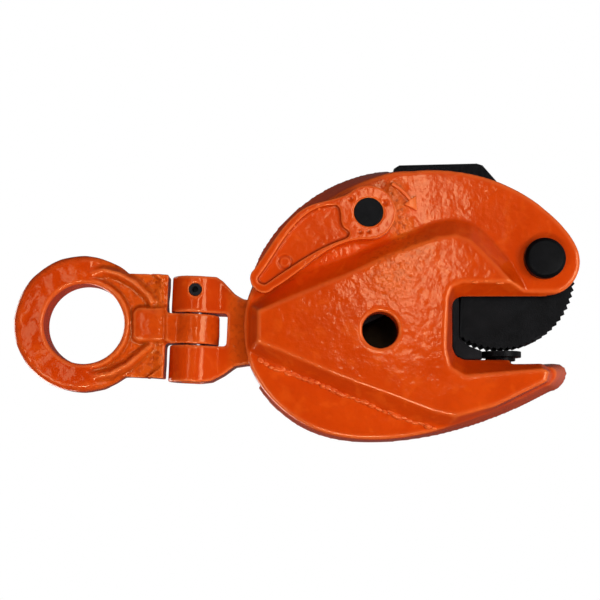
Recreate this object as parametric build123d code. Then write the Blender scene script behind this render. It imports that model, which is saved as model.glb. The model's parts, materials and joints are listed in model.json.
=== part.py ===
from build123d import *
import math
import os

# Plate lifting clamp, hanging by its hoist eye as in use. Millimetres, +Z up.
# Origin: centre of the hoist eye's bore. X runs across the clamp, the front cheek faces -Y.
# Places on the clamp are (drop, side), down and across from a point near the eye's centre. Saving
# a piece moves it so that the bore's centre is the origin.

# --- fits ---
fit_gap = 0.02        # radial gap of fixed pins
run_gap = 0.05        # radial gap of turning pins
seat_gap = 0.1        # end gap between pieces that turn on each other

# --- hoist eye ---
eye_bore_r = 15.0
eye_bore_at = (1.05, -0.2)
eye_outer_r = 25.9
eye_ring_at = (0.3, 0.0)   # the ring is thicker at the top than at the bore's sides
eye_thick = 14.5
eye_outer_round = 3.0
eye_bore_round = 4.5
shoulder_drop = 32.0
shoulder_top = 18.3
shoulder_bottom = -21.2
knuckle_width = 11.6
shoulder_round = 1.2
shoulder_from = 12.0     # drop at which the shoulder starts inside the ring
tongue_from = 20.0

# --- hinge between eye and clevis ---
hinge_at = (42.4, -2.2)
hinge_lean = 2.2      # degrees the hinge hangs out of square
barrel_r = 9.4
eye_pin_r = 4.0
eye_pin_inset = 0.6
eye_pin_chamfer = 0.5
roll_pin_r = 2.3
roll_pin_bore_r = 1.2
roll_pin_offset = 14.6
roll_pin_inset = 0.2

# --- clevis ---
ear_top = 17.7
ear_bottom = -22.2
ear_gap = 12.1
clevis_slot_end = 54.7
ear_run_out = 52.0        # drop at which the barrels run out into the flat
flat_end = 70.0
shank_half_thick = 7.2
tongue_step_drop = 76.0
neck_pin_at = (88.0, -3.0)
neck_pin_r = 3.5
tongue_end_r = 2 * neck_pin_r
shank_outline = [
    (60.0, 9.0), (66.0, 8.4), (tongue_step_drop, 4.0), (tongue_step_drop, -10.0), (66.0, -15.0),
    (60.0, -15.4),
]
tongue_outline = [(74.0, 4.0), (neck_pin_at[0], 4.0), (neck_pin_at[0], -10.0), (74.0, -10.0)]

# --- housing levels, measured from the middle plane ---
low_level = 13.0
panel_level = 19.0
panel_sunk = 0.5          # how far the panel's foot reaches into the low level
slot_wall = 1.0           # straight part of the slot's wall before its bevel
inspection_at = (111.4, -3.6)
inspection_r = 6.6

# --- cam ---
pivot_at = (172.6, 23.2)
cam_pin_r = 5.5
cam_head_r = cam_pin_r + 2.1
cam_head_rise = 4.6
cam_head_chamfer = 1.2
cam_half_thick = 6.0      # the shank's tongue is as thick, between the same two links
link_gap = 0.2
cam_arc_centre = (157.2, 18.3)
cam_arc_r = 28.4
cam_first_tooth = 33.0     # degrees round the arc, from straight across
cam_last_tooth = -90.0
tooth_pitch = 2.5
tooth_depth = 1.0
cam_hub_r = 12.4
bush_outer_r = cam_pin_r + 2.0
spacer_outer_r = cam_pin_r + 1.0
link_arm = 13.0
link_arm_angle = 43.0
cam_link_pin_r = 2.8
spring_post_at = (138.0, 44.0)
spring_post_r = 1.6
fork_slot = 6.8
fork_top = 110.0
fork_depth = 142.0
cam_corner = (141.8, -4.4)

# --- pull links ---
link_thick = 2.6
link_root_r = neck_pin_r + 2.3
link_tip_r = 5.0
link_tip_play = 0.8       # radial play that lets the straight link follow the cam

# --- pad in the lower jaw ---
pad_drop = 157.8
pad_seat = -13.9
pad_flange = 2.2
pad_collar = 1.3
pad_r = 7.8
pad_stem_r = 4.0
pad_collar_r = pad_stem_r + 1.6
pad_stem_length = 10.0
pad_groove_depth = 6.2
pad_ring_pitch = 2.0
pad_ring_count = 3
pad_ring_depth = 0.8
pad_ring_start = 0.8      # first ring's radius, as a share of the pitch
pad_ring_half = 0.4

# --- lock lever ---
lever_at = (107.3, 39.7)
lever_thick = 6.2
lever_pocket = 1.6
lever_shaft_r = 5.3
lever_journal_r = lever_shaft_r - 1.3
lever_boss_r = lever_shaft_r + 4.7
washer_thick = 0.8
washer_r = lever_shaft_r + 3.5
crank_arm = 7.0
crank_angle = 50.0
crank_hub_r = lever_journal_r + 2.8
crank_end_r = 2.8
crank_depths = (3.0, 6.0)
crank_pin_r = 1.6
coil_wire_r = 0.55
coil_r = 2.3              # also the radius of the end loops, a loose fit on both pins
coil_pitch = 1.5
coil_turns = 14
coil_offset = 9.6         # from the crank pin to the first turn
hook_gap = math.radians(60.0)

# --- circlips ---
clip_thick = 1.0
clip_groove = 0.6
clip_reach = 1.7
clip_opening = 0.6        # width of the gap, as a share of the shaft's radius
pin_tail = 3.0        # how far the cross pins stand out at the back

# --- outlines of the housing, from the neck over the top, round the jaw and back under ---
middle_rim = [
    [(62.2, -16.0), (60.9, -6.0), (60.9, 2.0), (62.0, 9.6)],
    [(62.0, 9.6), (66.8, 26.7), (78.3, 42.1), (93.6, 53.0), (109.0, 58.4), (124.0, 59.0)],
    [(124.0, 59.0), (146.4, 56.6), (164.2, 49.6), (178.9, 37.9), (186.0, 27.6), (186.9, 22.5)],
    [(186.9, 22.5), (185.2, 16.4), (181.0, 11.6), (174.6, 9.6)],
    [(174.6, 9.6), (160.0, 5.0)],
    [(160.0, 5.0), (160.0, -16.0)],
    [(160.0, -16.0), (177.5, -14.6)],
    [(177.5, -14.6), (182.8, -18.4), (181.6, -22.0), (176.3, -25.5)],
    [(176.3, -25.5), (157.3, -34.5), (134.7, -41.6)],
    [(134.7, -41.6), (108.4, -44.6), (85.8, -40.5), (70.8, -29.7), (62.2, -16.0)],
]
face_rim = [
    [(63.4, -15.7), (61.4, -6.0), (61.4, 2.0), (62.8, 9.0)],
    [(62.8, 9.0), (70.0, 22.6), (82.0, 36.9), (96.0, 47.6), (107.0, 53.0), (116.4, 56.0), (124.0, 56.6)],
    [(124.0, 56.6), (146.4, 55.6), (164.2, 48.9), (178.9, 37.2), (185.6, 27.0), (186.4, 22.5)],
    [(186.4, 22.5), (184.9, 16.8), (180.8, 12.0), (174.6, 10.0)],
    [(174.6, 10.0), (160.0, 5.0)],
    [(160.0, 5.0), (160.0, -17.0)],
    [(160.0, -17.0), (173.6, -16.6)],
    [(173.6, -16.6), (176.4, -19.0), (175.6, -21.6), (172.0, -24.0)],
    [(172.0, -24.0), (155.4, -32.0), (134.0, -39.6)],
    [(134.0, -39.6), (108.2, -43.4), (86.4, -39.2), (71.8, -28.8), (63.4, -15.7)],
]
# Raised panel: its foot on the low level and its edge on the high level, corner by corner.
panel_foot = [
    (63.2, -11.0), (63.2, 6.0), (81.0, 17.8), (97.5, 23.3), (115.3, 31.1), (133.6, 37.8),
    (139.8, 38.6), (147.0, 36.9), (152.5, 32.1), (160.4, 22.5), (166.8, 10.0), (166.8, 0.0),
    (166.8, -10.0), (175.4, -19.2), (174.4, -22.0), (153.4, -32.8), (136.0, -39.0), (126.5, -38.2),
    (114.8, -34.4), (94.4, -25.2), (75.7, -17.3),
]
panel_edge = [
    (66.6, -8.0), (66.6, 3.4), (82.7, 10.0), (97.3, 15.9), (114.9, 24.0), (132.5, 30.3),
    (139.4, 31.2), (144.5, 29.3), (148.7, 25.3), (153.3, 20.6), (160.8, 13.0), (160.8, 0.0),
    (160.8, -12.0), (172.4, -18.6), (171.6, -22.6), (152.9, -31.4), (139.1, -35.0), (131.8, -33.5),
    (114.5, -26.9), (94.4, -19.5), (74.0, -10.7),
]
# Jaw slot: the lip beside the cam, and the rim on the face after its bevel.
slot_lip = [
    (200.0, 9.4), (142.4, 9.4), (139.8, 8.6), (138.8, 6.2), (138.7, -9.4), (139.8, -12.4),
    (143.0, pad_seat), (200.0, pad_seat),
]
slot_rim = [
    (200.0, 13.9), (141.7, 13.9), (137.9, 12.4), (136.3, 8.0), (135.4, -10.4), (136.8, -17.2),
    (141.9, -20.3), (200.0, -15.2),
]
# Plate stop in the throat of the jaw, below the cam's flank.
stop_outline = [
    (138.85, 9.3), (141.3, 9.3), (141.3, -5.6), (144.6, -8.7), (149.6, -10.7), (149.6, -13.8),
    (143.1, -13.8), (139.9, -12.3), (138.85, -9.4),
]
stop_slot = ((130.0, 142.0), (-6.6, 20.0))
stop_slot_gap = 0.3
# Hollow between the cheeks: open at the neck, over the cam's tail and at the jaw.
hollow = [
    (50.0, 19.2), (70.0, 19.2), (76.0, 27.0), (88.0, 39.6), (100.0, 47.4), (108.0, 50.8),
    (116.4, 52.4), (116.4, 80.0), (200.0, 80.0), (200.0, 0.0), (147.0, 0.0), (147.0, -4.0),
    (138.7, -9.4), (126.0, -20.0), (104.0, -31.0), (84.0, -29.0), (74.0, -23.2), (50.0, -23.2),
]
# Lock lever round its arm, from the boss over the top to the tip and back.
lever_top = [(101.0, 47.4), (92.9, 44.3), (84.5, 41.7), (79.0, 37.5), (71.2, 27.4), (65.3, 18.6)]
lever_tip = [(65.3, 18.6), (64.0, 13.8), (67.8, 10.0), (72.4, 11.5)]
lever_low = [(72.4, 11.5), (80.0, 16.6), (88.5, 23.1), (97.2, 27.9), (106.0, 29.75)]
pocket = [
    [(95.5, 42.2), (87.1, 40.6), (79.2, 33.8), (71.3, 22.1), (66.9, 15.8)],
    [(66.9, 15.8), (66.9, 14.0), (68.5, 13.0), (70.3, 13.6)],
    [(70.3, 13.6), (75.0, 16.9), (82.9, 22.1), (90.2, 26.3), (98.6, 29.8)],
    [(98.6, 29.8), (100.2, 31.4), (99.4, 33.2)],
    [(99.4, 33.2), (97.1, 38.6), (96.4, 41.4), (95.5, 42.2)],
]
# Cam from the end of its teeth round the hub to the tail, and down the flank.
cam_tail = [
    (172.6, 35.9), (161.1, 48.8), (155.9, 55.0), (151.4, 60.2), (149.2, 60.9), (119.8, 60.2),
    (117.7, 58.9), (117.7, 55.2), (122.0, 47.6), (130.0, 40.6), (148.0, 31.4), (142.8, 22.0),
    (142.4, 8.0),
]
# Clevis seen from the front, down its upper side and back up its lower one.
clevis_outline = [
    (31.0, 17.7), (50.2, 17.7), (52.6, 16.2), (57.4, 11.4), (60.6, 9.7), (66.0, 9.2),
    (66.0, -14.6), (62.6, -14.8), (58.4, -15.6), (54.1, -19.0), (49.6, -21.6), (45.2, -22.2),
    (31.0, -22.2),
]

front = Plane.XZ
clip_levels = (-low_level - seat_gap - clip_thick, -low_level - seat_gap)
link_levels = (cam_half_thick + link_gap, cam_half_thick + link_gap + link_thick)
cavity_half = link_levels[1] + link_gap


def at(point):
    """Local position on a plane across the clamp's thickness."""
    return (point[1], -point[0])


def polar(centre, radius, degrees):
    """A point round a centre: 0 points up the clamp, 90 points to +X."""
    turn = math.radians(degrees)
    return (centre[0] - radius * math.cos(turn), centre[1] + radius * math.sin(turn))


def chain(runs):
    """Closed wire: a run of 2 points is a line, of more a spline."""
    edges = []
    for run in runs:
        points = [at(p) for p in run]
        edges.append(Line(*points) if len(points) == 2 else Spline(*points))
    return Wire(edges)


def loop(points):
    """Closed wire with straight sides."""
    return Polyline(*[at(p) for p in points], close=True).wire()


def slab(wire, near, far):
    """Solid between two distances in front of the middle plane."""
    return extrude(front.offset(near) * make_face(wire), amount=far - near)


def tapered(low_wire, low, high_wire, high):
    """Straight-sided solid from an outline at one level to one at another."""
    return Solid.make_loft([front.offset(low) * low_wire, front.offset(high) * high_wire], ruled=True)


def disc(point, radius, near, far):
    """Cylinder through the clamp's thickness."""
    return extrude(front.offset(near) * (Pos(*at(point)) * Circle(radius)), amount=far - near)


def ring(point, inner, outer, near, far):
    return disc(point, outer, near, far) - disc(point, inner, near - 1, far + 1)


def across(drop, side_from, side_to, radius):
    """Cylinder along X in the middle plane."""
    plane = Plane(origin=(side_from, 0, -drop), x_dir=(0, 1, 0), z_dir=(1, 0, 0))
    return extrude(plane * Circle(radius), amount=side_to - side_from)


def block(drops, sides, half):
    """Box centred on the middle plane."""
    middle = Pos(sum(sides) / 2, 0, -sum(drops) / 2)
    return middle * Box(sides[1] - sides[0], 2 * half, drops[1] - drops[0])


def leaned(shape):
    """Turns a shape with the hinge, which hangs a little out of square."""
    x, z = at(hinge_at)
    return Pos(x, 0, z) * Rot(0, hinge_lean, 0) * Pos(-x, 0, -z) * shape


def strap(a, radius_a, b, radius_b, near, far):
    """Plate round two points, with straight edges between its round ends."""
    run = math.hypot(b[0] - a[0], b[1] - a[1])
    heading = math.degrees(math.atan2(b[1] - a[1], a[0] - b[0]))
    lift = math.degrees(math.acos((radius_a - radius_b) / run))
    corners = [polar(a, radius_a, heading - lift), polar(b, radius_b, heading - lift),
               polar(b, radius_b, heading + lift), polar(a, radius_a, heading + lift)]
    plate = slab(loop(corners), near, far) + disc(a, radius_a, near, far)
    return plate + disc(b, radius_b, near, far)


def clip(point, shaft_r):
    """Retaining ring with its gap, behind the rear cheek."""
    body = ring(point, shaft_r - clip_groove + fit_gap, shaft_r + clip_reach, clip_levels[0], clip_levels[1])
    x, z = at(point)
    return body - Pos(x, 0, z - shaft_r) * Box(shaft_r * clip_opening, 4 * panel_level, 2 * shaft_r)


def largest(shape):
    return sorted(shape.solids(), key=lambda s: s.volume)[-1]


# --- eye and clevis ---
hinge_drop, hinge_side = hinge_at
ear_top_span = (hinge_side + ear_gap / 2, ear_top)
ear_low_span = (ear_bottom, hinge_side - ear_gap / 2)
roll_pin_at = (hinge_drop, hinge_side + roll_pin_offset)


def hoist_eye():
    disc_body = disc(eye_ring_at, eye_outer_r, -eye_thick / 2, eye_thick / 2)
    disc_body = fillet(disc_body.edges(), eye_outer_round)
    shoulder = block((shoulder_from, shoulder_drop), (shoulder_bottom, shoulder_top), eye_thick / 2)
    shoulder = fillet(shoulder.edges().filter_by(Axis.X), shoulder_round)
    half = knuckle_width / 2
    tongue = across(hinge_drop, hinge_side - half, hinge_side + half, barrel_r)
    tongue += block((tongue_from, hinge_drop), (hinge_side - half, hinge_side + half), eye_thick / 2)
    tongue -= across(hinge_drop, hinge_side - half, hinge_side + half, eye_pin_r + run_gap)
    body = disc_body + leaned(shoulder + tongue)
    body -= disc(eye_bore_at, eye_bore_r, -eye_thick, eye_thick)
    rim = body.edges().filter_by(GeomType.CIRCLE).filter_by(lambda e: abs(e.radius - eye_bore_r) < 0.01)
    return largest(fillet(rim, eye_bore_round))


def clevis():
    side_view = Polyline((-flat_end, shank_half_thick), (-ear_run_out, shank_half_thick),
                         (-hinge_drop, barrel_r), (-hinge_drop, -barrel_r),
                         (-ear_run_out, -shank_half_thick), (-flat_end, -shank_half_thick), close=True)
    profile = Plane(origin=(ear_bottom, 0, 0), x_dir=(0, 0, 1), z_dir=(1, 0, 0)) * make_face(side_view)
    body = extrude(profile, amount=ear_top - ear_bottom) + across(hinge_drop, ear_bottom, ear_top, barrel_r)
    body &= slab(loop(clevis_outline), -barrel_r - 1, barrel_r + 1)
    body -= block((0.0, clevis_slot_end), (ear_low_span[1], ear_top_span[0]), 2 * barrel_r)
    body -= across(hinge_drop, ear_bottom - 1, ear_top + 1, eye_pin_r + fit_gap)
    body -= disc(roll_pin_at, roll_pin_r + fit_gap, -barrel_r - 1, barrel_r + 1)
    shank = slab(loop(shank_outline), -shank_half_thick, shank_half_thick)
    tongue = slab(loop(tongue_outline), -cam_half_thick, cam_half_thick)
    tongue += disc(neck_pin_at, tongue_end_r, -cam_half_thick, cam_half_thick)
    tongue -= disc(neck_pin_at, neck_pin_r + fit_gap, -panel_level, panel_level)
    return largest(leaned(body) + shank + tongue)


def eye_pin():
    body = across(hinge_drop, ear_bottom + eye_pin_inset, ear_top - eye_pin_inset, eye_pin_r)
    body -= disc(roll_pin_at, roll_pin_r + fit_gap, -barrel_r, barrel_r)
    ends = body.edges().group_by(Axis.X)
    return leaned(chamfer(ends[0] + ends[-1], eye_pin_chamfer))


def eye_pin_roll_pin():
    end = barrel_r - roll_pin_inset
    return leaned(ring(roll_pin_at, roll_pin_bore_r, roll_pin_r, -end, end))


def neck_pin():
    return disc(neck_pin_at, neck_pin_r, -link_levels[1], link_levels[1])


# --- link from the shank to the cam ---
link_pin_at = polar(pivot_at, link_arm, link_arm_angle)


def pull_link(near, far):
    body = strap(neck_pin_at, link_root_r, link_pin_at, link_tip_r, near, far)
    body -= disc(neck_pin_at, neck_pin_r + run_gap, -panel_level, panel_level)
    return body - disc(link_pin_at, cam_link_pin_r + link_tip_play, -panel_level, panel_level)


def cam_link_pin():
    return disc(link_pin_at, cam_link_pin_r, -link_levels[1], link_levels[1])


# --- cam ---
def toothed_arc():
    """Zigzag points of the gripping teeth round the cam's eccentric arc."""
    step = math.degrees(tooth_pitch / cam_arc_r)
    count = int((cam_first_tooth - cam_last_tooth) / step)
    points = []
    for i in range(count + 1):
        turn = cam_first_tooth - i * step
        points.append(polar(cam_arc_centre, cam_arc_r, turn - 90))
        points.append(polar(cam_arc_centre, cam_arc_r - tooth_depth, turn - step / 2 - 90))
    return points


def cam():
    body = slab(loop([cam_corner] + toothed_arc() + [pivot_at] + cam_tail[-2:]),
                -cam_half_thick, cam_half_thick)
    body += slab(loop(cam_tail + [pivot_at]), -cam_half_thick, cam_half_thick)
    body += disc(pivot_at, cam_hub_r, -cam_half_thick, cam_half_thick)
    body -= disc(pivot_at, bush_outer_r + fit_gap, -panel_level, panel_level)
    body -= disc(link_pin_at, cam_link_pin_r + fit_gap, -panel_level, panel_level)
    body -= disc(spring_post_at, spring_post_r + fit_gap, -panel_level, panel_level)
    slot = (spring_post_at[1] - fork_slot, spring_post_at[1] + fork_slot)
    body -= block((fork_top, fork_depth), slot, fork_slot / 2)
    return largest(body)


def cam_bush():
    return ring(pivot_at, cam_pin_r + run_gap, bush_outer_r, -cam_half_thick, cam_half_thick)


def cam_spacer(near, far):
    return ring(pivot_at, cam_pin_r + run_gap, spacer_outer_r, near, far)


def cam_pin():
    head = disc(pivot_at, cam_head_r, low_level, low_level + cam_head_rise)
    head = chamfer(head.edges().group_by(Axis.Y)[0], cam_head_chamfer)
    body = head + disc(pivot_at, cam_pin_r, -low_level - pin_tail, low_level)
    groove = ring(pivot_at, cam_pin_r - clip_groove, cam_pin_r + 1, clip_levels[0], clip_levels[1])
    return largest(body - groove)


def spring_post():
    return disc(spring_post_at, spring_post_r, -cam_half_thick, cam_half_thick)


# --- housing ---
def cheek():
    """Front half of the housing, without its holes."""
    body = tapered(chain(middle_rim), 0.0, chain(face_rim), low_level)
    body += tapered(loop(panel_foot), low_level - panel_sunk, loop(panel_edge), panel_level)
    bevel_from = cavity_half + slot_wall
    body -= slab(loop(slot_lip), -1.0, bevel_from)
    body -= tapered(loop(slot_lip), bevel_from, loop(slot_rim), panel_level)
    return body - slab(loop(hollow), -1.0, cavity_half)


def jaw_stop():
    """Hardened corner piece between the cheeks, slotted for the cam to swing back through."""
    half = cavity_half - fit_gap
    body = slab(loop(stop_outline), -half, half)
    return largest(body - block(stop_slot[0], stop_slot[1], cam_half_thick + stop_slot_gap))


def pad_bore():
    """Stepped bore for the pad's stem, from the seat down into the lower jaw."""
    bottom = pad_seat - pad_stem_length - 1.0
    groove = pad_seat - pad_groove_depth
    bore = across(pad_drop, bottom, pad_seat + 1.0, pad_stem_r + run_gap)
    return bore + across(pad_drop, groove - 2 * clip_thick, groove, pad_stem_r + clip_reach + run_gap)


def housing_front():
    body = cheek() - pad_bore()
    body -= disc(inspection_at, inspection_r, 0, panel_level + 1)
    body -= disc(pivot_at, cam_pin_r + fit_gap, 0, panel_level + 1)
    return largest(body - disc(lever_at, lever_shaft_r + run_gap, 0, panel_level + 1))


def housing_rear():
    body = mirror(cheek(), about=Plane.XZ) - pad_bore()
    body -= disc(pivot_at, cam_pin_r + fit_gap, -panel_level - 1, 0)
    return largest(body - disc(lever_at, lever_journal_r + run_gap, -panel_level - 1, 0))


# --- pad ---
def swivel_pad():
    under = pad_seat + pad_collar
    top = under + pad_flange
    body = across(pad_drop, under, top, pad_r) + across(pad_drop, pad_seat, under, pad_collar_r)
    for i in range(pad_ring_count):
        mid = pad_ring_pitch * (i + pad_ring_start)
        low = top - pad_ring_depth
        groove = across(pad_drop, low, top, mid + pad_ring_half)
        body -= groove - across(pad_drop, low, top, mid - pad_ring_half)
    body += across(pad_drop, pad_seat - pad_stem_length, pad_seat, pad_stem_r)
    groove = pad_seat - pad_groove_depth - clip_thick / 2
    cut = across(pad_drop, groove - clip_thick, groove, pad_stem_r + 1)
    return largest(body - (cut - across(pad_drop, groove - clip_thick, groove, pad_stem_r - clip_groove)))


def pad_circlip():
    groove = pad_seat - pad_groove_depth - clip_thick / 2
    body = across(pad_drop, groove - clip_thick, groove, pad_stem_r + clip_reach - fit_gap)
    body -= across(pad_drop, groove - clip_thick, groove, pad_stem_r - clip_groove + fit_gap)
    gap = Box(4 * clip_thick, pad_stem_r * clip_opening, 2 * pad_stem_r)
    return body - Pos(groove, 0, -pad_drop - pad_stem_r) * gap


# --- lock ---
lever_under = low_level + washer_thick
lever_face = lever_under + lever_thick


def lock_lever():
    neck = [lever_low[-1], lever_at]
    outline = chain([lever_top, lever_tip, lever_low, neck, [lever_at, lever_top[0]]])
    body = slab(outline, lever_under, lever_face)
    body += disc(lever_at, lever_boss_r, lever_under, lever_face)
    body -= slab(chain(pocket), lever_face - lever_pocket, lever_face + 1)
    return largest(body - disc(lever_at, lever_shaft_r + fit_gap, 0, lever_face + 1))


def lever_shaft():
    body = disc(lever_at, lever_shaft_r, cavity_half, lever_face)
    body += disc(lever_at, lever_journal_r, -low_level - pin_tail, cavity_half)
    groove = ring(lever_at, lever_journal_r - clip_groove, lever_journal_r + 1, clip_levels[0], clip_levels[1])
    return largest(body - groove)


def lever_washer():
    return ring(lever_at, lever_shaft_r + run_gap, washer_r, low_level, lever_under)


crank_pin_at = polar(lever_at, crank_arm, crank_angle)


def lock_crank():
    near, far = -crank_depths[1], -crank_depths[0]
    body = strap(lever_at, crank_hub_r, crank_pin_at, crank_end_r, near, far)
    body -= disc(lever_at, lever_journal_r + fit_gap, -panel_level, panel_level)
    return body - disc(crank_pin_at, crank_pin_r + fit_gap, -panel_level, panel_level)


def crank_pin():
    return disc(crank_pin_at, crank_pin_r, -crank_depths[1], 2 * coil_wire_r)


def spring_hook(centre, reach):
    """Loop round a pin at one end of the spring, with its stem out to the coil."""
    side = math.copysign(1.0, reach - centre)
    open_end = (centre + side * coil_r * math.sin(hook_gap), coil_r * math.cos(hook_gap))
    back = (centre - side * coil_r, 0.0)
    foot = (centre, -coil_r)
    hook = Plane.XZ * Wire([ThreePointArc(open_end, back, foot), Line(foot, (reach, -coil_r))])
    return sweep(Plane(hook @ 0, z_dir=hook % 0) * Circle(coil_wire_r), path=hook)


def lock_spring():
    """Tension spring with a side hook at each end, built along X and laid from pin to post."""
    run = math.hypot(spring_post_at[0] - crank_pin_at[0], spring_post_at[1] - crank_pin_at[1])
    length = coil_turns * coil_pitch
    helix = Helix(coil_pitch, length, coil_r)
    coil = sweep(Plane(helix @ 0, z_dir=helix % 0) * Circle(coil_wire_r), path=helix, is_frenet=True)
    coil = Pos(coil_offset, 0, 0) * Rot(0, 90, 0) * coil
    parts = [coil, spring_hook(0.0, coil_offset), spring_hook(run, coil_offset + length)]
    x, z = at(crank_pin_at)
    end_x, end_z = at(spring_post_at)
    slope = math.degrees(math.atan2(end_z - z, end_x - x))
    laid = [Pos(x, 0, z) * Rot(0, -slope, 0) * Rot(180, 0, 0) * p for p in parts]
    return Compound([s for p in laid for s in p.solids()])


def save(shape, name):
    shape = Pos(-eye_bore_at[1], 0, eye_bore_at[0]) * shape
    shape.label = name
    export_step(shape, "parts/" + name + ".step")


os.makedirs("parts", exist_ok=True)
save(hoist_eye(), "hoist_eye")
save(clevis(), "clevis")
save(eye_pin(), "eye_pin")
save(eye_pin_roll_pin(), "eye_pin_roll_pin")
save(neck_pin(), "neck_pin")
save(pull_link(link_levels[0], link_levels[1]), "pull_link_front")
save(pull_link(-link_levels[1], -link_levels[0]), "pull_link_rear")
save(cam_link_pin(), "cam_link_pin")
save(cam(), "cam")
save(cam_bush(), "cam_bush")
save(cam_spacer(cam_half_thick + run_gap, cavity_half - run_gap), "cam_spacer_front")
save(cam_spacer(run_gap - cavity_half, -cam_half_thick - run_gap), "cam_spacer_rear")
save(cam_pin(), "cam_pin")
save(clip(pivot_at, cam_pin_r), "cam_pin_circlip")
save(spring_post(), "spring_post")
save(housing_front(), "housing_front")
save(housing_rear(), "housing_rear")
save(jaw_stop(), "jaw_stop")
save(swivel_pad(), "swivel_pad")
save(pad_circlip(), "pad_circlip")
save(lock_lever(), "lock_lever")
save(lever_shaft(), "lever_shaft")
save(lever_washer(), "lever_washer")
save(clip(lever_at, lever_journal_r), "lever_shaft_circlip")
save(lock_crank(), "lock_crank")
save(crank_pin(), "crank_pin")
save(lock_spring(), "lock_spring")
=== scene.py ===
import json
import math
import random

import bmesh
import bpy
from mathutils import Matrix, Vector, noise


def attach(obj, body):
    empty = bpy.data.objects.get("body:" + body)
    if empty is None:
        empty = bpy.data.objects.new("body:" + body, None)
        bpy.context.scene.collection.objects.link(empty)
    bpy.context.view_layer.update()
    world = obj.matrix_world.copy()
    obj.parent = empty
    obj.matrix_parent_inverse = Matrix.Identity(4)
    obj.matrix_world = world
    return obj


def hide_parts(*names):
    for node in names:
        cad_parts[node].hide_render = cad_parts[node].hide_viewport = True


# Plate lifting clamp: forged cheeks, eye and clevis in gloss enamel, blackened working parts.
# Places are (drop, side, out) in millimetres, as in the part's source: drop is downwards from a
# point near the eye's centre, side is +X, out is in front of the middle plane. Objects are in
# metres, with the centre of the eye's bore as the origin.

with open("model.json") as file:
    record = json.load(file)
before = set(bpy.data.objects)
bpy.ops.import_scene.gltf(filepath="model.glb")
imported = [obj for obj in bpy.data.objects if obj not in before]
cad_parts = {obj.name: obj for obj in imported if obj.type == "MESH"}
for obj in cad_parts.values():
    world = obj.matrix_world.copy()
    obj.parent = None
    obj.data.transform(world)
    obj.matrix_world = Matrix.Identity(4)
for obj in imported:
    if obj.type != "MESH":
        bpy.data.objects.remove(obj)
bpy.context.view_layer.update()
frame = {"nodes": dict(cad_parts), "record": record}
scene = bpy.context.scene
MM = 0.001
BORE_AT = (1.05, -0.2)  # (drop, side) of the eye's centre
random.seed(7)


def place(drop, side, out):
    """The point at (drop, side, out), in metres."""
    return Vector((side - BORE_AT[1], -out, BORE_AT[0] - drop)) * MM


def spot(co):
    """The (drop, side, out) of a point."""
    return BORE_AT[0] - co.z / MM, BORE_AT[1] + co.x / MM, -co.y / MM


# ---------------------------------------------------------------- camera and light
LENS_MM = 78.0
SENSOR_MM = 36.0
CAMERA_AT = place(82.08, -45.68, 490.92)
CAMERA_TARGET = place(82.08, 9.386, 0.0)
LIT_MIDDLE = place(90.0, 5.0, 0.0)
# name, (drop, side, out) in millimetres, width and height in metres, watts
SOFTBOXES = [
    # lights every face that looks to the front
    ("key_softbox", (640.0, 40.0, 620.0), 0.36, 0.36, 2.5),
    # weak fill from the lever's side
    ("top_softbox", (170.0, 420.0, 700.0), 0.7, 0.4, 0.3),
    # mirrored in the hammered face of the eye
    ("ring_softbox", (-190.0, 60.0, 700.0), 0.1, 0.16, 0.14),
    # fills from the eye's end and from the jaw's end
    ("left_softbox", (-300.0, -260.0, 640.0), 0.2, 0.3, 1.05),
    ("right_softbox", (560.0, -180.0, 620.0), 0.3, 0.4, 0.8),
    # strip mirrored in the lower slopes and the run of paint
    ("low_softbox", (60.0, -460.0, 640.0), 0.3, 0.06, 1.9),
    # small box mirrored in the middle of the cheek
    ("sheen_softbox", (169.0, 135.0, 640.0), 0.06, 0.16, 0.26),
    # rim light on the walls, kept away from where the bevels in view would mirror it
    ("back_low_softbox", (-450.0, -450.0, -560.0), 0.5, 0.5, 4.5),
    ("back_top_softbox", (-750.0, 150.0, -480.0), 0.5, 0.5, 3.5),
]


def aim(obj, where, target):
    """Puts a camera or lamp somewhere, looking at a target, with +X upwards in its view."""
    back = (where - target).normalized()
    right = Vector((1, 0, 0)).cross(back).normalized()
    axes = Matrix((right, back.cross(right), back)).transposed()
    obj.matrix_world = Matrix.Translation(where) @ axes.to_4x4()


def softbox(name, where, width, height, watts):
    lamp = bpy.data.lights.new(name, "AREA")
    lamp.shape = "RECTANGLE"
    lamp.size = width
    lamp.size_y = height
    lamp.energy = watts
    obj = bpy.data.objects.new(name, lamp)
    scene.collection.objects.link(obj)
    aim(obj, where, LIT_MIDDLE)


lens = bpy.data.cameras.new("camera")
lens.lens = LENS_MM
lens.sensor_width = SENSOR_MM
camera = bpy.data.objects.new("camera", lens)
scene.collection.objects.link(camera)
scene.camera = camera
aim(camera, CAMERA_AT, CAMERA_TARGET)
for name, where, width, height, watts in SOFTBOXES:
    softbox(name, place(*where), width, height, watts)


# ---------------------------------------------------------------- node trees
def linear(code):
    """Colour from an sRGB hex code."""
    parts = [int(code[i:i + 2], 16) / 255 for i in (0, 2, 4)]
    parts = [c / 12.92 if c <= 0.04045 else ((c + 0.055) / 1.055) ** 2.4 for c in parts]
    return tuple(parts) + (1.0,)


def wire(tree, node, sockets):
    """Links or sets a node's inputs."""
    for key, value in sockets.items():
        if isinstance(value, bpy.types.NodeSocket):
            tree.links.new(value, node.inputs[key])
        else:
            node.inputs[key].default_value = value


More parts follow.
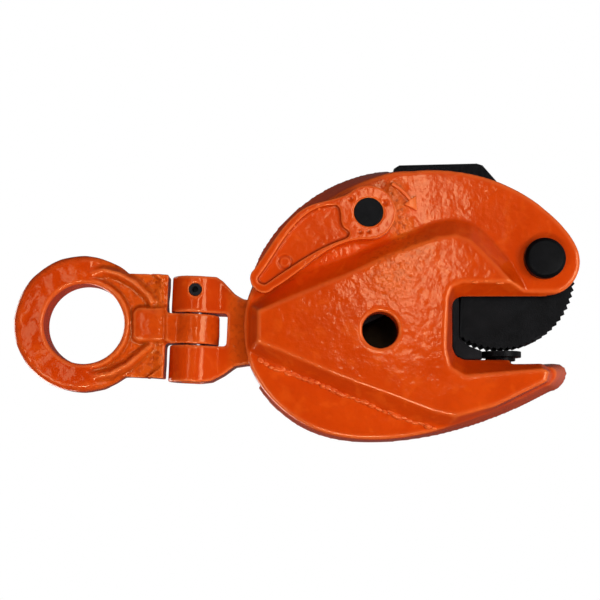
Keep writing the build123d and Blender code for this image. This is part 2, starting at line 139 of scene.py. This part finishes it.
def add(tree, kind, sockets=None, stops=None, **settings):
    """A node with its settings, its sockets set or linked, and a ramp's stops."""
    made = tree.nodes.new("ShaderNode" + kind)
    for key, value in settings.items():
        setattr(made, key, value)
    wire(tree, made, sockets or {})
    for i, (position, value) in enumerate(stops or []):
        ramp = made.color_ramp.elements
        stop = ramp[i] if i < 2 else ramp.new(position)
        stop.position = position
        stop.color = linear(value) if isinstance(value, str) else (value, value, value, 1.0)
    return made


def per_metre(size_mm):
    """Texture scale for features of a real size."""
    return 1.0 / (size_mm * MM)


def blank(name):
    """A new material with its tree, its shader and its object coordinates."""
    material = bpy.data.materials.new(name)
    material.use_nodes = True
    tree = material.node_tree
    shader = tree.nodes["Principled BSDF"]
    coords = add(tree, "TexCoord").outputs["Object"]
    return material, tree, shader, coords


def mix(tree, factor, a, b):
    """Colour a, going over to b as the factor rises."""
    return add(tree, "Mix", {0: factor, 6: a, 7: b}, data_type="RGBA").outputs[2]


def maths(tree, operation, a, b):
    return add(tree, "Math", {0: a, 1: b}, operation=operation).outputs[0]


def cloudy(tree, coords, size_mm, detail, distortion=0.0):
    """Noise with features of a real size, 0 to 1."""
    return add(tree, "TexNoise", {"Vector": coords, "Scale": per_metre(size_mm),
                                  "Detail": detail, "Distortion": distortion}).outputs[0]


def graded(tree, value, *stops):
    """A ramp over a value, each stop a position with a hex colour or a level of grey."""
    return add(tree, "ValToRGB", {0: value}, stops).outputs[0]


def span(tree, value, low, high):
    """Stretches 0 to 1 over low to high."""
    return add(tree, "MapRange", {0: value, 3: low, 4: high}).outputs[0]


def pointiness(tree):
    """Under 0.5 in creases, over it on edges."""
    return add(tree, "NewGeometry").outputs["Pointiness"]


def stored(tree, name):
    """A value that the mesh carries."""
    return add(tree, "Attribute", attribute_name=name).outputs["Fac"]


def gloss_enamel():
    """Orange alkyd enamel sprayed thick over a forging: saturated and wet-looking, with patchy
    glints from orange peel. Painted shade makes it browner in the creases and a painted highlight
    makes it paler on edges; it is paler in random blotches, golden with a painted sheen on its
    rough scale patches, and painted shade takes it to near black on the faces within the housing."""
    material, tree, shader, coords = blank("gloss_enamel_on_forging")
    cloud = cloudy(tree, coords, 14, 3.0)
    body = graded(tree, cloud, (0.32, "CE3801"), (0.68, "DC4202"))
    patches = cloudy(tree, coords, 6.5, 2.0, distortion=0.6)
    blotch = graded(tree, patches, (0.54, 0.0), (0.68, 0.3))
    colour = mix(tree, blotch, body, linear("EE5C14"))
    edges = pointiness(tree)
    # painted shade: browner in the creases
    crease = graded(tree, edges, (0.44, 1.0), (0.497, 0.0))
    # painted highlight: paler orange along the edges
    crown = graded(tree, edges, (0.503, 0.0), (0.54, 0.7))
    colour = mix(tree, crease, colour, linear("8E2002"))
    colour = mix(tree, crown, colour, linear("FA7A38"))
    # painted sheen: rough scale patches turn golden orange in place of their glints; the dark
    # specks and the pits are the real scale
    scale_and_sheen = stored(tree, "scale_and_sheen")
    colour = mix(tree, span(tree, scale_and_sheen, 0.0, 0.55), colour, linear("E46E1A"))
    grit = cloudy(tree, coords, 1.8, 2.0)
    specks = graded(tree, grit, (0.36, 0.85), (0.5, 0.0))
    colour = mix(tree, maths(tree, "MULTIPLY", specks, scale_and_sheen), colour, linear("A63006"))
    # painted shade: faces that look into the housing go near black and duller
    inner_shade = stored(tree, "inner_shade")
    colour = mix(tree, inner_shade, colour, linear("17100E"))
    gloss = span(tree, cloud, 0.09, 0.17)
    dull = span(tree, inner_shade, 0.0, 0.4)
    peel = cloudy(tree, coords, 2.6, 2.0)
    soft = add(tree, "Bump", {"Height": peel, "Strength": 0.2, "Distance": 0.0006})
    pitted = maths(tree, "MULTIPLY", grit, scale_and_sheen)
    hard = add(tree, "Bump", {"Height": pitted, "Normal": soft.outputs[0], "Strength": 0.45,
                              "Distance": 0.0008})
    wire(tree, shader, {"Base Color": colour, "Roughness": maths(tree, "ADD", gloss, dull),
                        "IOR": 1.5, "Specular Tint": linear("FFD9A4"),
                        "Normal": hard.outputs[0]})
    return material


def phosphate_steel():
    """Heat-treated steel, manganese phosphated and oiled: near black, satin, faintly grained."""
    material, tree, shader, coords = blank("black_phosphate_steel")
    cloud = cloudy(tree, coords, 5, 4.0)
    tint = graded(tree, cloud, (0.35, "040405"), (0.7, "0C0C0E"))
    bare = graded(tree, pointiness(tree), (0.53, 0.0), (0.62, 0.35))
    # crystals are finer than a tenth of a millimetre; drawn at 0.45 to show
    grain = cloudy(tree, coords, 0.45, 2.0)
    bump = add(tree, "Bump", {"Height": grain, "Strength": 0.35, "Distance": 0.0002})
    wire(tree, shader, {"Base Color": mix(tree, bare, tint, linear("3A3A3D")),
                        "Roughness": span(tree, cloud, 0.3, 0.44),
                        "Specular IOR Level": 0.08, "Normal": bump.outputs[0]})
    return material


def turned_steel():
    """Turned and ground pin steel, oiled: bright, with fine streaks from the lathe."""
    material, tree, shader, coords = blank("turned_pin_steel")
    streak = cloudy(tree, coords, 0.8, 5.0)
    wire(tree, shader, {"Base Color": graded(tree, streak, (0.3, "8E8E92"), (0.7, "C2C3C8")),
                        "Metallic": 1.0, "Roughness": span(tree, streak, 0.22, 0.4)})
    return material


def sintered_bronze():
    """Oil-filled sintered bronze bush: brown-gold, matt, with open pores."""
    material, tree, shader, coords = blank("sintered_bronze")
    pores = add(tree, "TexVoronoi", {"Vector": coords, "Scale": per_metre(0.5)})
    tint = graded(tree, pores.outputs["Distance"], (0.1, "5E431C"), (0.5, "A87B3C"))
    wire(tree, shader, {"Base Color": tint, "Metallic": 1.0, "Roughness": 0.45})
    return material


ENAMEL = gloss_enamel()
FINISHES = {"orange_paint": ENAMEL, "black_steel": phosphate_steel(),
            "bright_steel": turned_steel(), "bronze": sintered_bronze()}


# ---------------------------------------------------------------- meshes
WELD_MM = 0.002
FORGED_CREASE = 180.0  # degrees: a forging has no sharp edge to keep
JOINT_BAND = 0.8


def copied(node):
    """Editable copy of a frame node, its loose triangles merged."""
    bm = bmesh.new()
    bm.from_mesh(frame["nodes"][node].data)
    bmesh.ops.remove_doubles(bm, verts=bm.verts, dist=WELD_MM * MM)
    return bm


def body_of(node):
    bodies = frame["record"]["behaviour"]["bodies"]
    return next(body for body, members in bodies.items() if node in members)


def finish_of(node):
    return next(s["material_slot"] for s in frame["record"]["subparts"] if s["node"] == node)


def shown(name, bm, material, crease=None):
    """Turns a mesh into a smooth-shaded object, sharp where it turns by more than the crease."""
    mesh = bpy.data.meshes.new(name)
    bm.to_mesh(mesh)
    bm.free()
    mesh.materials.append(material)
    mesh.polygons.foreach_set("use_smooth", [True] * len(mesh.polygons))
    if crease is not None:
        mesh.set_sharp_from_angle(angle=math.radians(crease))
    obj = bpy.data.objects.new(name, mesh)
    scene.collection.objects.link(obj)
    return obj


def piece(name, bm, node, crease=FORGED_CREASE):
    """A piece that stands for a frame node and rides with it."""
    obj = shown(name, bm, FINISHES[finish_of(node)], crease)
    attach(obj, body_of(node))
    finish_of(node)
    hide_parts(node)
    return obj


def recast(bm, grain, passes, joint=False):
    """Rebuilds a mesh as one even skin, overlapping shells joined, its edges worn soft. A piece
    with a joint face on the middle plane keeps its edge there."""
    mesh = bpy.data.meshes.new("casting")
    bm.to_mesh(mesh)
    bm.free()
    obj = bpy.data.objects.new("casting", mesh)
    scene.collection.objects.link(obj)
    remesh = obj.modifiers.new("remesh", "REMESH")
    remesh.mode = "VOXEL"
    remesh.voxel_size = grain * MM
    bpy.context.view_layer.update()
    skin = bmesh.new()
    skin.from_object(obj, bpy.context.evaluated_depsgraph_get())
    bpy.data.objects.remove(obj)
    bpy.data.meshes.remove(mesh)
    loose = [v for v in skin.verts if not joint or abs(v.co.y) > JOINT_BAND * MM]
    for _ in range(passes):
        bmesh.ops.smooth_vert(skin, verts=loose, factor=0.5, use_axis_x=True, use_axis_y=True,
                              use_axis_z=True)
    return skin


def step(a, b, value):
    """Smooth ramp from 0 at a to 1 at b."""
    t = min(1.0, max(0.0, (value - a) / (b - a)))
    return t * t * (3 - 2 * t)


def near(spots, point, reach):
    """How close a (drop, side) point is to any of some spots, from 1 on it to 0 at reach."""
    return max(1 - step(0.0, reach, math.dist(point, s)) for s in spots)


def along(path, point):
    """Distance of a (drop, side) point from a path, and how far along the path it is, 0 to 1."""
    best, where = 1e9, 0.0
    for i in range(len(path) - 1):
        (ax, ay), (bx, by) = path[i], path[i + 1]
        run = (bx - ax) ** 2 + (by - ay) ** 2
        t = min(1.0, max(0.0, ((point[0] - ax) * (bx - ax) + (point[1] - ay) * (by - ay)) / run))
        gap = math.dist(point, (ax + t * (bx - ax), ay + t * (by - ay)))
        if gap < best:
            best, where = gap, (i + t) / (len(path) - 1)
    return best, where


def ripple(co, size_mm, octaves=1):
    """Smooth seeded noise, -1 to 1, with features of a real size."""
    return noise.fractal(co * per_metre(size_mm), 1.0, 2.0, octaves)


def worked(bm, depth, scale_and_sheen, hollow=False):
    """Sinks each vertex along its normal by depth(drop, side, out, co), and stores how much rough
    scale with painted sheen it carries. In a hollow piece it also stores which faces look
    inwards, to the middle plane, where painted shade darkens them."""
    layer = bm.verts.layers.float.new("scale_and_sheen")
    inner = bm.verts.layers.float.new("inner_shade")
    bm.normal_update()
    moves = []
    for v in bm.verts:
        drop, side, out = spot(v.co)
        v[layer] = scale_and_sheen(drop, side, out)
        if hollow and abs(out) > 1.0:
            v[inner] = step(0.3, 0.7, v.normal.y * math.copysign(1, out))
        moves.append((v, v.normal * (-depth(drop, side, out, v.co) * MM)))
    for v, move in moves:
        v.co += move
    return bm


# ---------------------------------------------------------------- hoist eye
RING_BORE = 15.0
EYE_HALF = 7.25
BORE_FLAT = 2.75  # half the straight wall between the wide roundings of the bore
BORE_ROUND = 4.5
LIP_ROUND = 1.8  # the tight rounding that replaces the wide one
LIP_SUNK = 0.8
DISH_SUNK = 3.0  # the hollow on either side of the tongue's block
RIB_SUNK = 0.9
FACET_SUNK = 1.5
BLOCK_SIDE = -0.4
BLOCK_HALF = 3.8
BLOCK_START = 22.0
SHOULDER_START = 31.6
SHOULDER_END = 34.0
UPPER_RIB = [(4.5, 19.0), (8.3, 19.9), (13.9, 18.6), (19.6, 15.5), (24.6, 11.1), (26.5, 8.0)]
LOWER_RIB = [(4.3, -20.1), (11.4, -18.9), (17.5, -15.8), (22.4, -11.4), (26.1, -8.3)]


def eye_sink(drop, side):
    """How far the eye's faces lie below the ring's crown, in millimetres."""
    radius = math.dist((drop, side), BORE_AT)
    turn = math.degrees(math.atan2(abs(side), drop))  # from straight down
    rib, where = along(UPPER_RIB if side > 0 else LOWER_RIB, (drop, side))
    crest = 1 - step(0.3, 2.6, rib)
    lip = 1 - step(RING_BORE + 1.6, RING_BORE + 3.0, radius)
    across = abs(side - BLOCK_SIDE)
    outside = math.hypot(max(0.0, across - BLOCK_HALF), max(0.0, BLOCK_START - drop)) - 2.4
    block = 1 - step(-0.3, 1.3, outside)
    barrel = 0.7 * ((drop - 26.0) / 6.5) ** 2 + 0.5 * (across / 6.1) ** 4
    dish = (1 - step(60.0, 84.0, turn)) * step(RING_BORE + 1.0, RING_BORE + 3.2, radius)
    dish *= DISH_SUNK * (1 - block) * (1 - crest)
    dish *= 1 - step(26.5, 30.0, drop) * 0.35
    corner = abs(side) * 0.8 + drop * 0.6
    facet = step(30.6, 31.2, corner) * (1 - block)
    sunk = dish * (1 - facet) + FACET_SUNK * facet
    sunk += RIB_SUNK * crest * step(0.35, 1.0, where) * (1 - block)
    sunk += barrel * block * (1 - step(30.5, 32.5, drop))
    return max(0.0, sunk * (1 - lip) + LIP_SUNK * lip * (1 - step(50, 84, turn)))


def crisp_bore(radius, height):
    """Turns the forging's wide bore rounding into a straight wall and a tight one."""
    quarter = math.pi / 2
    t = math.atan2(height - BORE_FLAT, RING_BORE + BORE_ROUND - radius) / quarter
    if not 0.0 < t < 1.0:
        return radius, height
    spare = BORE_ROUND - LIP_ROUND
    path = t * (2 * spare + LIP_ROUND * quarter)
    if path < spare:
        return RING_BORE, BORE_FLAT + path
    bend = (path - spare) / LIP_ROUND
    if bend < quarter:
        return (RING_BORE + LIP_ROUND * (1 - math.cos(bend)),
                BORE_FLAT + spare + LIP_ROUND * math.sin(bend))
    return RING_BORE + LIP_ROUND + (bend - quarter) * LIP_ROUND, EYE_HALF


def hoist_eye():
    eye = recast(copied("hoist_eye"), 0.5, 4)
    for v in eye.verts:
        drop, side, out = spot(v.co)
        radius = math.dist((drop, side), BORE_AT)
        if radius < RING_BORE + BORE_ROUND and abs(out) > BORE_FLAT:
            wider, higher = crisp_bore(radius, abs(out))
            v.co.x *= wider / radius
            v.co.z *= wider / radius
            v.co.y = math.copysign(higher * MM, v.co.y)
            drop, side, out = spot(v.co)
        if drop < SHOULDER_END:
            fade = 1 - step(SHOULDER_START, SHOULDER_END, drop)
            v.co.y *= 1 - eye_sink(drop, side) / EYE_HALF * fade

    def depth(drop, side, out, co):
        bore = 1 - step(RING_BORE + 0.3, RING_BORE + 2.0, math.dist((drop, side), BORE_AT))
        hammered = 0.5 + 0.5 * ripple(co, 6.0, 2)
        return 0.05 + 0.42 * hammered * (1 - bore)

    def scale_and_sheen(drop, side, out):
        # rough scale with painted sheen, stronger towards the tongue and where the face lies
        # deeper
        sunk = min(0.5, 0.25 * eye_sink(drop, side)) if drop < 31.0 else 0.0
        return 0.25 * step(20.0, 30.0, drop) + sunk

    piece("hoist_eye_painted", worked(eye, depth, scale_and_sheen), "hoist_eye")


# ---------------------------------------------------------------- clevis
NECK_START = 54.0
NECK_END = 57.0


def clevis():
    body = recast(copied("clevis"), 0.5, 4)

    def depth(drop, side, out, co):
        return 0.04 + 0.07 * (0.5 + 0.5 * ripple(co, 6.0, 2))

    def scale_and_sheen(drop, side, out):
        return 0.4 * step(NECK_START, NECK_END, drop)

    piece("clevis_painted", worked(body, depth, scale_and_sheen), "clevis")


# ---------------------------------------------------------------- cheeks
LOW_FACE = 13.0
HIGH_FACE = 19.0
FACE_FROM = 9.5  # the wall ends and the edge's rounding starts
FACE_FULL = 11.5
RELIEF_GRAIN = 0.24
RELIEF_PASSES = 3
BEAD_PITCH = 2.4
RUN_LINE = [(66.5, -13.6), (70.7, -16.3), (76.6, -18.4), (89.4, -23.4), (93.5, -25.2),
            (102.3, -28.2), (112.1, -32.6), (118.7, -35.0), (125.3, -37.4), (132.2, -39.7)]
SAGS = [(146.2, 13.9, 2.8), (150.2, 14.3, 2.2), (155.3, 13.6, 3.6)]  # drop, side, length
ARROW_CENTRE = (105.2, 32.2)
ARROW_RADIUS = 22.4
ARROW_TAIL = 60.0  # degrees from straight down
ARROW_SWEEP = 25.0
ARROW_HEAD = [(19.3, 36.5), (22.5, 24.0), (25.0, 36.5)]  # radius, degrees
ARROW_FOOT = 0.85  # half widths of the band
ARROW_TOP = 0.6
# (drop, side) centres of rough scale with golden painted sheen, beside the arrow and on the panel
SCALE_AND_SHEEN_SPOTS = [(117.6, 49.3), (119.4, 43.6), (121.2, 36.0), (119.3, 32.3), (117.5, 37.9)]
PANEL_SPOTS = [(113.3, 23.0), (118.8, 26.4), (124.0, 27.0), (118.7, 19.0), (115.0, 15.0)]


def dab(bm, where, size, turn):
    """A flattened bead of paint or weld, size (along, across, high) in millimetres."""
    matrix = (Matrix.Translation(where) @ Matrix.Rotation(turn, 4, "Y")
              @ Matrix.Diagonal(Vector((size[0], size[2], size[1])) * MM).to_4x4())
    bmesh.ops.create_uvsphere(bm, u_segments=12, v_segments=8, radius=0.5, matrix=matrix)


def raised_relief(name, bm):
    """Paint or casting relief that rides with the housing."""
    obj = shown(name, bm, ENAMEL)
    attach(obj, "housing")


def flow_ridge():
    """The uneven ridge of run paint along the foot of the panel's lower slope."""
    bm = bmesh.new()
    for start, end in zip(RUN_LINE, RUN_LINE[1:]):
        run, rise = end[0] - start[0], end[1] - start[1]
        heading = math.atan2(run, rise)
        count = max(1, round(math.dist(start, end) / BEAD_PITCH))
        for k in range(count):
            t = (k + 0.5) / count
            wander = random.uniform(-0.45, 0.45)
            size = (random.uniform(2.4, 5.4), random.uniform(1.1, 2.4), random.uniform(1.0, 2.4))
            bead_at = place(start[0] + t * run, start[1] + t * rise + wander, LOW_FACE - 0.15)
            dab(bm, bead_at, size, heading + random.uniform(-0.22, 0.22))
    raised_relief("flow_ridge", recast(bm, RELIEF_GRAIN, RELIEF_PASSES))


def jaw_lumps():
    """Small sags of paint on the upper edge of the jaw's bevel."""
    bm = bmesh.new()
    for drop, side, length in SAGS:
        dab(bm, place(drop, side, HIGH_FACE - 0.75), (length, 1.2, 1.6), math.radians(90))
    raised_relief("jaw_lumps", recast(bm, RELIEF_GRAIN, RELIEF_PASSES))


def turn_arrow():
    """A raised curved arrow beside the lever's boss, cast with the cheek."""
    foot, top = LOW_FACE - 0.5, LOW_FACE + 1.25

    def flat_face(points):
        """A face through (radius, degrees, out) points about the arrow's centre."""
        corners = []
        for radius, degrees, out in points:
            turn = math.radians(degrees)
            corners.append(place(ARROW_CENTRE[0] + radius * math.cos(turn),
                                 ARROW_CENTRE[1] + radius * math.sin(turn), out))
        return bm.faces.new([bm.verts.new(co) for co in corners])

    bm = bmesh.new()
    section = flat_face([(ARROW_RADIUS - ARROW_FOOT, ARROW_TAIL, foot),
                         (ARROW_RADIUS - ARROW_TOP, ARROW_TAIL, top),
                         (ARROW_RADIUS + ARROW_TOP, ARROW_TAIL, top),
                         (ARROW_RADIUS + ARROW_FOOT, ARROW_TAIL, foot)])
    bmesh.ops.spin(bm, geom=[section] + section.edges[:] + section.verts[:],
                   cent=place(ARROW_CENTRE[0], ARROW_CENTRE[1], 0), axis=(0, 1, 0),
                   angle=math.radians(ARROW_SWEEP), steps=12, use_duplicate=False)
    bmesh.ops.remove_doubles(bm, verts=bm.verts, dist=0.01 * MM)
    head = flat_face([(radius, degrees, foot) for radius, degrees in ARROW_HEAD])
    raised = bmesh.ops.extrude_face_region(bm, geom=[head])["geom"]
    lifted = [v for v in raised if isinstance(v, bmesh.types.BMVert)]
    bmesh.ops.translate(bm, vec=(0, -(top - foot) * MM, 0), verts=lifted)
    bmesh.ops.recalc_face_normals(bm, faces=bm.faces)
    sharp = [e for e in bm.edges if len(e.link_faces) == 2 and e.calc_face_angle() > 0.6]
    bmesh.ops.bevel(bm, geom=sharp, offset=0.3 * MM, affect="EDGES", segments=3, profile=0.5,
                    material=-1)
    raised_relief("turn_arrow", bm)


def cheek(node, front):
    skin = recast(copied(node), 0.62, 6, joint=True)
    sense = 1 if front else -1

    def depth(drop, side, out, co):
        face = step(FACE_FROM, FACE_FULL, out * sense)
        waves = 0.5 + 0.5 * ripple(co, 9.0, 2)
        return 0.05 + face * 0.14 * waves

    def scale_and_sheen(drop, side, out):
        if out * sense < FACE_FROM:
            return 0.15
        # rough scale with golden painted sheen beside the arrow, and on the panel round its spots
        if front and abs(out - LOW_FACE) < 1.5:
            return max(0.08, near(SCALE_AND_SHEEN_SPOTS, (drop, side), 6.5))
        return 0.1 + 0.35 * near(PANEL_SPOTS, (drop, side), 13.0)

    piece(node + "_painted", worked(skin, depth, scale_and_sheen, hollow=True), node)


# ---------------------------------------------------------------- lock lever
LEVER_FACE = 20.0
# (drop, side) and radius
DIMPLES = [((100.8, 44.5), 1.5), ((113.3, 43.0), 1.6), ((104.1, 32.2), 1.2), ((107.2, 32.4), 1.2)]
RING_MARK = (76.6, 21.4)
RING_MARK_RADIUS = 2.3


def lock_lever():
    lever = recast(copied("lock_lever"), 0.3, 4)

    def depth(drop, side, out, co):
        face = step(LEVER_FACE - 2.6, LEVER_FACE - 1.2, out)
        dents = sum(0.45 * (1 - step(0.2, r, math.dist((drop, side), at))) for at, r in DIMPLES)
        mark = math.dist((drop, side), RING_MARK)
        ring = 0.3 * (1 - step(0.0, 0.9, abs(mark - RING_MARK_RADIUS)))
        return 0.03 + face * (dents + ring + 0.05 * (0.5 + 0.5 * ripple(co, 5.0)))

    def scale_and_sheen(drop, side, out):
        return 0.04

    piece("lock_lever_painted", worked(lever, depth, scale_and_sheen), "lock_lever")


# ---------------------------------------------------------------- machined parts
SHARP_ABOVE = 32.0  # degrees
FLAT_WITHIN = 1.0
BROKEN_EDGES = {"cam": 0.25, "cam_pin": 0.3, "swivel_pad": 0.15, "lever_shaft": 0.25,
                "jaw_stop": 0.3, "pull_link_front": 0.2, "pull_link_rear": 0.2}


def machined(node, edge):
    """Crisp part with its sharp edges broken."""
    bm = copied(node)
    bmesh.ops.dissolve_limit(bm, angle_limit=math.radians(FLAT_WITHIN), verts=bm.verts,
                             edges=bm.edges)
    obj = piece(node + "_finished", bm, node, SHARP_ABOVE)
    bevel = obj.modifiers.new("broken_edge", "BEVEL")
    bevel.width = edge * MM
    bevel.segments = 2
    bevel.limit_method = "ANGLE"
    bevel.angle_limit = math.radians(SHARP_ABOVE)
    bevel.harden_normals = True


hoist_eye()
clevis()
cheek("housing_front", True)
cheek("housing_rear", False)
turn_arrow()
flow_ridge()
jaw_lumps()
lock_lever()
for node, edge in BROKEN_EDGES.items():
    machined(node, edge)
for node, obj in frame["nodes"].items():
    if not obj.hide_render:
        obj.data.materials.clear()
        obj.data.materials.append(FINISHES[finish_of(node)])
        finish_of(node)

# ---------------------------------------------------------------- floor and surroundings
FLOOR_HEIGHT = -0.9
FLOOR_HALF = 2.4

floor_mesh = bpy.data.meshes.new("floor")
bm = bmesh.new()
bmesh.ops.create_grid(bm, x_segments=1, y_segments=1, size=FLOOR_HALF,
                      matrix=Matrix.Translation((0, 0, FLOOR_HEIGHT)))
bm.to_mesh(floor_mesh)
bm.free()
floor = bpy.data.objects.new("floor", floor_mesh)
scene.collection.objects.link(floor)
# pale paper, a little brighter to the camera than the lights make it
paper, tree, shader, _ = blank("matt_white_paper")
glow = maths(tree, "MULTIPLY", add(tree, "LightPath").outputs["Is Camera Ray"], 0.8)
wire(tree, shader, {"Base Color": linear("E8E8E8"), "Roughness": 0.9,
                    "Emission Color": linear("FFFFFF"), "Emission Strength": glow})
floor_mesh.materials.append(paper)

# white behind the clamp, nearly dark to the paint, so that only the softboxes show in its gloss
world = bpy.data.worlds.new("studio")
scene.world = world
world.use_nodes = True
sky = world.node_tree
seen = add(sky, "LightPath").outputs["Is Camera Ray"]
dim = add(sky, "Background", {"Color": linear("FFFFFF"), "Strength": 0.06})
white = add(sky, "Background", {"Color": linear("FFFFFF"), "Strength": 1.0})
both = add(sky, "MixShader", {0: seen, 1: dim.outputs[0], 2: white.outputs[0]})
wire(sky, sky.nodes["World Output"], {"Surface": both.outputs[0]})
scene.view_settings.view_transform = "Standard"
